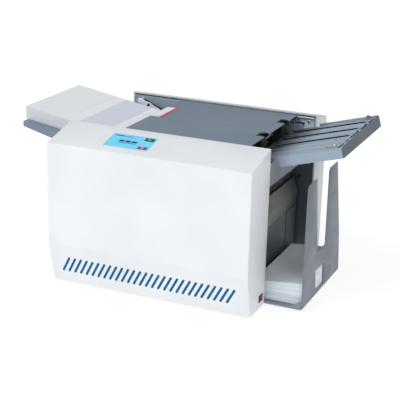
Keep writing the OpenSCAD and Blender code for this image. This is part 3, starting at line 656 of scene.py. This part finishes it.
def make_front_cover():
    """the front housing: one white shell with slots, a display window and holes for switch and inlet"""
    tan_panel = math.tan(PANEL_TILT)
    shell = bmesh.new()
    prism(shell, rounded([(LOW_SET_BACK, 0), (0, LOW_Z), (0, BODY_H - PANEL_DROP), (FRONT_DEPTH, BODY_H),
                          (FRONT_DEPTH, 0)], 1.6, 3), "x", 0, BODY_LEN)
    round_rims(shell, 1.3, 3)
    hollow = bmesh.new()
    top = BODY_H - WALL / math.cos(PANEL_TILT)
    prism(hollow, [(LOW_SET_BACK + WALL + LOW_SET_BACK / LOW_Z, -1), (WALL, LOW_Z),
                   (WALL, top - PANEL_DROP + WALL * tan_panel), (FRONT_DEPTH + 1, top + tan_panel),
                   (FRONT_DEPTH + 1, -1)], "x", WALL, BODY_LEN - WALL)
    shell = cut_by(shell, hollow)
    slots = bmesh.new()
    vent_slots(slots, VENT_W, -WALL, 2 * WALL)
    shell = cut_by(shell, moved(slots, low_front_frame))
    window = bmesh.new()
    plate(window, *SCREEN[0], *SCREEN[1], -2 * WALL, WALL, 1.2)
    shell = cut_by(shell, moved(window, panel_frame))
    holes = bmesh.new()
    for node, x0, x1, rim in (("switch_frame", BODY_LEN - 2 * WALL, BODY_LEN + 1, 1),
                              ("power_inlet", -1, 2 * WALL, 1.5)):
        lo, hi = mm_box(node)
        block(holes, (x0, lo.y + rim, lo.z + rim), (x1, hi.y - rim, hi.z - rim))
    shell = cut_by(shell, holes)
    piece(shell, "front_housing", "chassis", "housing_white", ["front_cover"])


def make_vent_insert():
    """the blue filter behind the slots, with a rib standing in each slot"""
    backing = bmesh.new()
    block(backing, (16, WALL + 0.6, -LOW_SLOPE * 0.78), (BODY_LEN - 16, WALL + 2, -LOW_SLOPE * 0.28))
    vent_slots(backing, VENT_W, 0.15, WALL + 0.8, 0.1)
    piece(moved(backing, low_front_frame), "vent_insert", "chassis", "mesh_teal", ["vent_backing"])


def rear_outline(inset):
    """the rear housing's profile as [Y, Z], drawn in from the outside"""
    front = THROAT_1 - (1 if inset else 0)
    foot = -1 if inset else 0
    y, z = rear_hi.y - REAR_R, BODY_H + REAR_RISE - REAR_DROP - REAR_R
    angles = [math.radians(a) for a in range(80, -1, -8)]
    arc = [(y + (REAR_R - inset) * math.cos(a), z + (REAR_R - inset) * math.sin(a)) for a in angles]
    return [(front, foot), (front, BODY_H + REAR_RISE - inset)] + arc + [(rear_hi.y - inset, foot)]


def make_rear_cover():
    """the rear housing, with its vent slots and sunk screws at the back"""
    shell = bmesh.new()
    prism(shell, rear_outline(0), "x", 0, BODY_LEN)
    round_rims(shell, 1.3, 3)
    hollow = bmesh.new()
    prism(hollow, rear_outline(WALL), "x", WALL, BODY_LEN - WALL)
    shell = cut_by(shell, hollow)
    cuts = bmesh.new()
    for i in range(10):
        x = BODY_LEN - 158 + 12 * i
        prism(cuts, slot_outline((x, 42), (x, 88), 4), "y", rear_hi.y - 2 * WALL, rear_hi.y + 1)
    for x, z in BACK_SCREWS:
        turned(cuts, (x, rear_hi.y, z), "y", [(4, -0.6), (4, 1)], 32)
    shell = cut_by(shell, cuts)
    lip_top = BODY_H + REAR_RISE - WALL
    block(shell, (WALL - 0.2, THROAT_1, lip_top - 1.2),
          (BODY_LEN - WALL + 0.2, THROAT_1 + 1.5, lip_top + 0.2))
    piece(shell, "rear_housing", "chassis", "rear_white_painted_shade", ["rear_cover"])


# ---------------------------------------------------------------- display and keys

# each key's lower edge on the panel and its height
KEYS = {"stop_key": (26.5, 9), "start_key": (58.5, 11)}
KEY_X = 176
KEY_W = 19
MARK_R = 2.5


def make_display():
    """the display's glass with cut-outs for the keys, and the plain marks shown on it"""
    (x0, y0), (x1, y1) = SCREEN
    glass = bmesh.new()
    plate(glass, x0 + 0.3, y0 + 0.3, x1 - 0.3, y1 - 0.3, -3, -0.5, 1.2)
    for y, high in KEYS.values():
        cut = bmesh.new()
        plate(cut, KEY_X - 0.3, y - 0.3, KEY_X + KEY_W + 0.3, y + high + 0.3, -4, 1, 1.0)
        glass = cut_by(glass, cut)
    piece(moved(glass, panel_frame), "display_glass", "chassis", "display", ["display_screen"], bevel=0.2)
    marks = bmesh.new()
    lift = (-0.5, -0.38)
    plate(marks, x0 + 6, y1 - 8.5, x0 + 25, y1 - 5.5, *lift, 0.7)
    for i in range(3):
        plate(marks, x0 + 28 + 5 * i, y1 - 8, x0 + 31.5 + 5 * i, y1 - 6, *lift, 0.5)
    for i in range(3):
        plate(marks, x0 + 22 + 13 * i, y0 + 23, x0 + 33 + 13 * i, y0 + 29, *lift, 0.8)
    plate(marks, x0 + 22, y0 + 18.5, x0 + 59, y0 + 20, *lift, 0.4)
    piece(moved(marks, panel_frame), "display_marks", "chassis", "display_dark")


def make_key(node, body, look):
    """one key: a domed cap over its flange, with a plain mark on top"""
    y, high = KEYS[node]
    cap = bmesh.new()
    plate(cap, KEY_X, y, KEY_X + KEY_W, y + high, -3.4, 0.1, 1.0)
    round_rims(cap, 0.3, 2)
    plate(cap, KEY_X - 1, y - 1, KEY_X + KEY_W + 1, y + high + 1, -4.6, -3.4, 1.4)
    piece(moved(cap, panel_frame), node + "_cap", body, look, [node])
    mark = key_mark(node, KEY_X + KEY_W / 2, y + high / 2)
    piece(moved(mark, panel_frame), node + "_mark", body, "key_mark")


def key_mark(node, cx, cy):
    """a ring with a pointer for start, an eight-sided sign with a square hole for stop"""
    mark, hole = bmesh.new(), bmesh.new()
    low = 0.08
    if node == "start_key":
        turned(mark, (cx, cy, 0), "z", [(MARK_R, low), (MARK_R, 0.26), (MARK_R - 0.2, 0.3)], 28)
        turned(hole, (cx, cy, 0), "z", [(1.8, 0), (1.8, 0.5)], 28)
        mark = cut_by(mark, hole)
        pointer = [(cx - 0.7, cy - 0.9), (cx + 1.0, cy), (cx - 0.7, cy + 0.9)]
        prism(mark, rounded(pointer, 0.2), "z", low, 0.28)
        return mark
    corners = [math.radians(22.5 + 45 * k) for k in range(8)]
    prism(mark, [(cx + MARK_R * math.cos(a), cy + MARK_R * math.sin(a)) for a in corners], "z", low, 0.3)
    plate(hole, cx - 1.0, cy - 1.0, cx + 1.0, cy + 1.0, 0, 0.5, 0.3)
    return cut_by(mark, hole)


# ---------------------------------------------------------------- deck

nip_lo, nip_hi = mm_box("nip_wheels")
NOTCHES = (nip_lo.y + 13, nip_hi.y - 13)
NOTCH_LONG = 19


def make_deck():
    """the deck plate with rolled edges and two open notches over the nip wheels"""
    lo, hi = mm_box("deck_plate")
    top = hi.z
    deck = bmesh.new()
    plate(deck, lo.x, THROAT_0, hi.x, THROAT_1, top - 2, top, 1.5)
    for y in NOTCHES:
        cut = bmesh.new()
        plate(cut, hi.x - NOTCH_LONG, y - 15.5, hi.x + 3, y + 15.5, top - 4, top + 1, 4)
        deck = cut_by(deck, cut)
    round_rims(deck, 0.45, 2)
    for y in (THROAT_0, THROAT_1 - 1.5):
        block(deck, (lo.x + 4, y, lo.z), (hi.x - 4, y + 1.5, top - 2))
    block(deck, (lo.x, THROAT_0 + 4, top - 6), (lo.x + 1.5, THROAT_1 - 4, top - 2))
    piece(deck, "deck_panel", "chassis", "deck_grey", ["deck_plate"])


def make_notch_rims():
    """the plated rim of each notch, and the curled tab beside it"""
    hi = mm_box("deck_plate")[1]
    top = hi.z
    start = hi.x - NOTCH_LONG + 0.9
    rims = bmesh.new()
    for y in NOTCHES:
        path = [(hi.x - 1.5, y - 14.6), (start, y - 14.6), (start, y + 14.6), (hi.x - 1.5, y + 14.6)]
        prism(rims, sheet_outline(rounded(path, 4, closed=False), 0.5), "z", top - 2.6, top + 0.15)
        curl = [(hi.x - 7.5, top - 1.2), (hi.x - 4, top + 0.2), (hi.x - 1.2, top - 0.4),
                (hi.x + 0.6, top - 3), (hi.x + 0.4, top - 6)]
        prism(rims, sheet_outline(rounded(curl, 3, closed=False), 0.8), "y", y + 11.6, y + 15.2)
    piece(rims, "notch_rims", "chassis", "plated_steel")


def make_label():
    """the white tab on the deck plate, with its red edge"""
    l0, l1 = mm_box("deck_label")
    label = bmesh.new()
    plate(label, l0.x, l0.y, l1.x - 5.5, l1.y, l0.z, l1.z, 1.5)
    piece(label, "label_panel", "chassis", "label_white", ["deck_label"], bevel=0.1)
    strip = bmesh.new()
    plate(strip, l1.x - 5.3, l0.y + 1, l1.x, l1.y - 1, l0.z, l1.z - 0.05, 1.0)
    piece(strip, "label_strip", "chassis", "label_red", bevel=0.1)


# ---------------------------------------------------------------- sheets

def pile_of_sheets(name, body, look, node, count, place, seed, span, columns):
    """loose sheets in a pile; place(i, s) gives sheet i's underside [X, Z] at share s, and its thickness"""
    dice = random.Random(seed)
    bm = bmesh.new()
    for i in range(count):
        shift_x, shift_y = dice.uniform(-0.35, 0.35), dice.uniform(-0.35, 0.35)
        back = 0.4 + (dice.uniform(0.8, 1.6) if dice.random() < 0.2 else 0)
        add_sheet(bm, i, place, shift_x, span[0] + back + shift_y, span[1] - back + shift_y, columns)
    piece(bm, name, body, look, [node], sharp=30)


def add_sheet(bm, i, place, shift_x, y0, y1, columns):
    """one sheet of a pile, drawn out along Y"""
    under, over = [], []
    for k in range(columns + 1):
        (x, z), thick = place(i, k / columns)
        under.append((x + shift_x, z))
        over.append((x + shift_x, z + thick))
    prism(bm, under + over[::-1], "y", y0, y1)


def make_infeed():
    """the waiting sheets: a squared pile whose leading edges are fanned under the deck"""
    lo, hi = mm_box("infeed_stack")
    tray_lo, tray_hi = mm_box("feed_tray")
    slope = math.tan(TRAY_SLOPE)
    count = 58
    thick = 25.2 / count
    fan = 27
    flap_long = 91

    def place(i, s):
        fan_end = hi.x - 4 - fan * (i / count) ** 1.15
        x = lo.x + 0.6 + (fan_end - lo.x - 1.2) * s
        sag = 0.012 * i / count * (x - lo.x)
        return (x, tray_hi.z - (x - tray_lo.x) * slope + 0.3 + i * thick - sag), thick * 0.86

    pile_of_sheets("waiting_sheets", "chassis", "paper", "infeed_stack", count - 1, place, 7,
                   (lo.y, hi.y), 12)
    top = bmesh.new()
    add_sheet(top, count - 1, place, 0.0, lo.y + 0.4, hi.y - 0.4, 24)
    piece(top, "top_sheet", "chassis", "paper_top")
    flap = bmesh.new()

    def flap_place(i, s):
        x = lo.x + 0.6 + (flap_long - 1.2) * s
        under = place(count - 1, (x - lo.x - 0.6) / (hi.x - fan - 4 - lo.x - 1.2))[0]
        return (x, under[1] + thick * 0.86), 0.22

    add_sheet(flap, 0, flap_place, 0.0, lo.y + 0.5, hi.y - 0.5, 12)
    piece(flap, "top_flap", "chassis", "paper")


def make_output():
    """the folded and sealed sheets in the catch tray, lying slightly uphill towards the end stop"""
    lo, hi = mm_box("output_stack")
    count = 52
    rise = 8.5
    x0, x1 = lo.x + 0.4, hi.x + 2

    def place(i, s):
        x = x0 + (x1 - x0) * s
        thick = (hi.z - rise - lo.z + rise * (x - lo.x) / (hi.x - lo.x)) / count
        belly = 0.54 * math.sin(math.pi * s) * (i / count)
        return (x, lo.z + i * thick - belly), thick * 0.88

    pile_of_sheets("folded_sheets", "catcher", "paper_painted_cool_light", "output_stack", count, place, 11,
                   (lo.y, hi.y), 8)


# ---------------------------------------------------------------- upper fold plate

# heights are square to the plate, places along it are measured from the fold nip
FOLD_TOP = 5.1
FOLD_SKIRT = 18.3
FOLD_FOOT = FOLD_TOP - FOLD_SKIRT
FOLD_LEN = 195.6
FOLD_U0 = 13.5
FOLD_SKIRT_U = 72.6
FOLD_WIDE = THROAT_1 - THROAT_0 - 16
FOLD_MIDDLE = (THROAT_0 + THROAT_1) / 2
FOLD_Y0 = FOLD_MIDDLE - FOLD_WIDE / 2 - 1
FOLD_Y1 = FOLD_Y0 + FOLD_WIDE
FOLD_SLOTS = [FOLD_MIDDLE + share * FOLD_WIDE for share in (-0.068, 0.16, 0.38)]
FOLD_RIBS = [FOLD_MIDDLE + share * FOLD_WIDE for share in (-0.344, -0.22, 0.046, 0.27)]
SLOT_W = 9.5
END_SLOT_U = FOLD_LEN - 9
PIVOT_U = 20


def fold_frame():
    """the fold plate's own frame: u along the plate, v square to it"""
    roll_lo, roll_hi = mm_box("fold_roller_1")
    middle = (nip_lo + nip_hi + roll_lo + roll_hi) / 4
    middle.y = 0
    return Matrix.Translation(middle) @ Matrix.Rotation(-FOLD_PITCH, 4, "Y")


def fold_piece(bm, name, look, replaces=(), bevel=0.0):
    """a piece of the upper fold plate, drawn in the plate's own frame"""
    piece(moved(bm, fold_frame()), name, "fold_plate", look, replaces, bevel)


def ribbed_sheet():
    """the plate's bent sheet with its pressed ribs, its skirts cut away over the rollers"""
    path = [(FOLD_Y0, FOLD_FOOT), (FOLD_Y0, FOLD_TOP)]
    crest = FOLD_TOP + 2.4
    for y in FOLD_RIBS:
        path += [(y - 3.4, FOLD_TOP), (y - 2.2, crest), (y + 2.2, crest), (y + 3.4, FOLD_TOP)]
    path += [(FOLD_Y1, FOLD_TOP), (FOLD_Y1, FOLD_FOOT)]
    skin = bmesh.new()
    prism(skin, sheet_outline(rounded(path, 1.6, 3, closed=False), 1.2), "x", FOLD_U0, FOLD_LEN)
    trim = bmesh.new()
    under = FOLD_FOOT - 1
    prism(trim, [(FOLD_U0 - 1, -2.4), (FOLD_SKIRT_U - 2, -2.4), (FOLD_SKIRT_U + 3, under),
                 (FOLD_U0 - 1, under)], "y", FOLD_Y0 - 2, FOLD_Y1 + 2)
    return cut_by(skin, trim)


def make_fold_skin():
    """the upper fold plate's sheet: ribs, lengthwise slots, one slot across its end, and beads"""
    cuts = bmesh.new()
    for y in FOLD_SLOTS:
        slot = slot_outline((FOLD_U0 + 8, y), (FOLD_LEN - 20, y), SLOT_W)
        prism(cuts, slot, "z", FOLD_TOP - 2, FOLD_TOP + 1)
    slot = slot_outline((END_SLOT_U, FOLD_Y0 + 15), (END_SLOT_U, FOLD_Y1 - 8), 5)
    prism(cuts, slot, "z", FOLD_TOP - 2, FOLD_TOP + 4)
    skin = cut_by(ribbed_sheet(), cuts)
    block(skin, (FOLD_SKIRT_U, FOLD_Y1 - 1.5, FOLD_TOP - 0.4), (FOLD_LEN, FOLD_Y1, FOLD_TOP + 5))
    for y in FOLD_SLOTS:
        bead = [(y + 6, FOLD_TOP - 0.2), (y + 6.8, FOLD_TOP + 1.2), (y + 8.5, FOLD_TOP + 1.2),
                (y + 9.5, FOLD_TOP - 0.2)]
        prism(skin, rounded(bead, 0.5), "x", FOLD_U0 + 6, FOLD_LEN - 17)
    fold_piece(skin, "fold_plate_skin", "plate_grey", ["upper_fold_plate"], bevel=0.25)


def make_fold_slot_shade():
    """painted shade: a black inner skin, black strips along the far side of each lengthwise slot and a black
    fill in the end slot, standing for the dark seen through the open slots
    """
    under, inner = FOLD_TOP - 1.3, 1.3
    lower = bmesh.new()
    path = [(FOLD_Y0 + inner, under), (FOLD_Y0 + inner, -1.2), (FOLD_Y1 - inner, -1.2),
            (FOLD_Y1 - inner, under)]
    prism(lower, sheet_outline(path[::-1], 1.1), "x", FOLD_U0, FOLD_LEN)
    for y in FOLD_SLOTS:
        far = y + SLOT_W / 2
        block(lower, (FOLD_U0 + 9, far - 1, under), (FOLD_LEN - 21, far - 0.1, FOLD_TOP + 0.8))
    block(lower, (END_SLOT_U - 2.4, FOLD_Y0 + 15, under), (END_SLOT_U + 2.4, FOLD_Y1 - 8, FOLD_TOP - 0.15))
    fold_piece(lower, "fold_plate_slot_shade", "slot_shade_black", bevel=0.15)


def make_fold_end():
    """the plate's end flange, in a much darker grey than the plate itself as painted shade"""
    end = bmesh.new()
    outline = [(FOLD_Y0, FOLD_FOOT), (FOLD_Y0, FOLD_TOP - 3), (FOLD_Y0 + 12, FOLD_TOP + 2),
               (FOLD_Y1 - 4, FOLD_TOP + 5), (FOLD_Y1, FOLD_TOP + 2), (FOLD_Y1, FOLD_FOOT)]
    prism(end, rounded(outline, 2.2), "x", FOLD_LEN, FOLD_LEN + 1.5)
    fold_piece(end, "fold_plate_end", "end_flange_painted_shade", bevel=0.4)


def make_fold_pins():
    """the two pins that the plate swings on, with their collars"""
    pins = bmesh.new()
    for a, b in ((THROAT_0 - 3, FOLD_Y0 + 1.5), (FOLD_Y1 - 1.5, THROAT_1 + 3)):
        turned(pins, (PIVOT_U, 0, 0), "y", [(2.6, a), (3, a + 0.5), (3, b - 0.5), (2.6, b)], 32)
    for y in (FOLD_Y0 - 1, FOLD_Y1):
        turned(pins, (PIVOT_U, 0, 0), "y", [(4.2, y), (4.8, y + 0.3), (4.8, y + 1)], 32)
    fold_piece(pins, "fold_plate_pins", "plated_steel")


def make_fold_bracket():
    """the stop's bracket on the fold plate"""
    y = FOLD_Y0 + 0.076 * FOLD_WIDE
    u = FOLD_LEN
    outline = [(u - 39, y + 8), (u - 24, y), (u - 8, y), (u - 8, y + 64), (u - 20, y + 75), (u - 39, y + 75)]
    bracket = bmesh.new()
    prism(bracket, rounded(outline, 4), "z", FOLD_TOP, FOLD_TOP + 2)
    fold_piece(bracket, "bracket_plate", "sheet_grey", ["stop_bracket"], bevel=0.4)


def make_plate_screws():
    """the bracket's two screws and the knurled thumb knob at the far side"""
    by = FOLD_Y0 + 0.076 * FOLD_WIDE
    ku, ky = FOLD_LEN - 18, FOLD_Y1 - 8
    screws = bmesh.new()
    for u, y in ((FOLD_LEN - 30, by + 59), (FOLD_LEN - 21, by + 9)):
        add_pan_screw(screws, (u, y, FOLD_TOP + 2), 4.5, 3, "z")
    knurls = 24
    outline = []
    for k in range(knurls * 2):
        r = 3.6 if k % 2 else 3.3
        t = math.pi * k / knurls
        outline.append((ku + r * math.cos(t), ky + r * math.sin(t)))
    prism(screws, outline, "z", FOLD_TOP + 2, FOLD_TOP + 8.4)
    turned(screws, (ku, ky, 0), "z", [(2.2, FOLD_TOP), (2.2, FOLD_TOP + 2.1)], 28)
    turned(screws, (ku, ky, 0), "z", [(3.1, FOLD_TOP + 8.3), (2.9, FOLD_TOP + 9)], 28)
    fold_piece(screws, "plate_screw_heads", "plated_steel", ["plate_screws"], 0.12)


def add_pan_screw(bm, centre, radius, high, axis):
    """a pan head with a cross recess"""
    profile = [(radius, 0), (radius, 0.4 * high)]
    for a in (20, 40, 60, 75):
        t = math.radians(a)
        profile.append((radius * math.cos(t), high * (0.4 + 0.6 * math.sin(t))))
    head = bmesh.new()
    turned(head, (0, 0, 0), "z", profile, 28)
    arm = radius * 0.55
    for x, y in ((arm, 0.45), (0.45, arm)):
        cross = bmesh.new()
        block(cross, (-x, -y, 0.55 * high), (x, y, 1.2 * high))
        head = cut_by(head, cross)
    turn = {"z": Matrix(), "y": Matrix.Rotation(math.radians(90), 4, "X")}[axis]
    head.transform(Matrix.Translation(centre) @ turn)
    mesh = bpy.data.meshes.new("head")
    head.to_mesh(mesh)
    head.free()
    bm.from_mesh(mesh)
    bpy.data.meshes.remove(mesh)


# ---------------------------------------------------------------- catch tray and end stop

def make_end_stop():
    """the end stop: one plate with two tall prongs and a window over the sheets"""
    lo, hi = mm_box("end_stop")
    y0, y1, top = lo.y, hi.y, hi.z
    wide = y1 - y0
    near, far = y0 + 0.224 * wide, y0 + 0.542 * wide
    far_end = y0 + 0.77 * wide
    outline = [(y0, lo.z), (y0, top - 7), (y0 + 7, top), (near - 1, top), (near, top - 2),
               (y0 + 0.344 * wide, 90), (y0 + 0.563 * wide - 3, 90), (far, top - 6), (far + 6, top),
               (far_end - 2, top), (far_end, top - 3), (y1 - 12, 85), (y1, 8), (y1, lo.z)]
    stop = bmesh.new()
    prism(stop, rounded(outline, 2.5, 3), "x", hi.x - 1.3, hi.x)
    window = bmesh.new()
    opening = [(y0 + 0.35 * wide, 9), (y0 + 0.325 * wide, 54), (y0 + 0.546 * wide, 51),
               (y0 + 0.568 * wide, 7.5)]
    prism(window, rounded(opening, 1.5), "x", lo.x - 1, hi.x + 1)
    stop = cut_by(stop, window)
    round_rims(stop, 0.4, 2)
    piece(stop, "end_stop_plate", "catcher", "stop_grey", ["end_stop"])


def make_feet(node, body, name, radius, places):
    """rubber feet with a groove round each and a recess under them, in two rows"""
    lo, hi = mm_box(node)
    tall = hi.z - lo.z
    r = radius
    profile = [(r - 4, 1.2), (r - 4, 0), (r - 2.2, 0), (r - 1.4, 0.5), (r - 1, tall * 0.55),
               (r - 0.8, tall * 0.62), (r, tall * 0.7), (r, tall)]
    feet = bmesh.new()
    for x in places:
        for y in (lo.y + radius, hi.y - radius):
            turned(feet, (x, y, lo.z), "z", profile, 36)
    piece(feet, name, body, "black_rubber", [node])


def make_case_screws():
    """the cover's sunk screws at the back and the two on the bracket beside the deck"""
    bm = bmesh.new()
    for x, z in ((BODY_LEN - 16, BODY_H - 13), (BODY_LEN - 12, BODY_H - 34)):
        add_pan_screw(bm, (x, THROAT_1 - 1.5, z), 3.4, 2.2, "y")
    sunk = [(3.5, -0.6), (3.5, -0.15), (3.3, 0), (1.2, 0), (1.2, -0.4)]
    for x, z in BACK_SCREWS:
        turned(bm, (x, rear_hi.y, z), "y", sunk, 32)
    piece(bm, "case_screw_heads", "chassis", "plated_steel", ["case_screws"])


def make_arm_clamp():
    """the dark collar half way along the hold-down arm"""
    arm_lo = mm_box("hold_down_arm")[0]
    rod_lo = mm_box("hold_down_rod")[0]
    drop = math.radians(22)
    along = Vector((math.cos(drop), -math.sin(drop)))
    across = Vector((math.sin(drop), math.cos(drop)))
    middle = Vector((23, BODY_H - 11)) + 23.5 * along
    ring = [middle + along * a + across * b for a, b in corners_of(-2.6, -6.4, 2.6, 5.2)]
    collar = bmesh.new()
    prism(collar, rounded(ring, 1.2), "y", arm_lo.y - 0.3, rod_lo.y)
    piece(collar, "arm_clamp", "hold_down", "black_plastic", bevel=0.2)


make_front_cover()
make_vent_insert()
make_rear_cover()
make_display()
make_key("start_key", "start_key_body", "key_green")
make_key("stop_key", "stop_key_body", "key_red")
make_deck()
make_notch_rims()
make_label()
make_infeed()
make_output()
make_fold_skin()
make_fold_slot_shade()
make_fold_end()
make_fold_pins()
make_fold_bracket()
make_plate_screws()
make_end_stop()
make_feet("feet", "chassis", "machine_feet", 9.5, (22, BODY_LEN - 20))
tray_foot_lo, tray_foot_hi = mm_box("tray_feet")
make_feet("tray_feet", "catcher", "catch_feet", 6.5, ((tray_foot_lo.x + tray_foot_hi.x) / 2,))
make_case_screws()
make_arm_clamp()

DRESSED = {
    "frame_grey": ["front_frame", "catch_tray", "fascia"],
    "inner_grey": ["bay_wall", "left_panel"],
    "deck_grey": ["feed_tray"],
    "sheet_grey": ["paper_bed", "lower_fold_plate"],
    "flange_grey": ["rear_bracket"],
    "throat_grey": ["rear_frame"],
    "supply_metal": ["power_supply", "base_plate"],
    "bare_steel": ["tie_bars", "feed_shaft", "pull_shaft", "retard_shaft", "nip_shaft", "fold_shaft_1",
                   "fold_shaft_2", "fold_shaft_3", "motor_shaft"],
    "arm_light": ["hold_down_arm"],
    "roller_rubber": ["feed_wheels", "pull_wheels", "retard_roller", "fold_roller_1", "fold_roller_2",
                      "fold_roller_3"],
    "black_rubber": ["nip_wheels", "drive_belt", "transfer_belt", "feed_belt"],
    "black_plastic": ["guide_finger", "hold_down_rod", "switch_frame", "power_inlet", "fold_stop"],
    "grey_plastic": ["near_guide", "far_guide"],
    "board_green": ["control_board"],
    "motor_dark": ["drive_motor"],
    "rocker_red": ["switch_rocker"],
}
for look_name, node_names in DRESSED.items():
    for node_name in node_names:
        dress(node_name, look_name)

dress("exit_chute", "chute_taupe", 0)
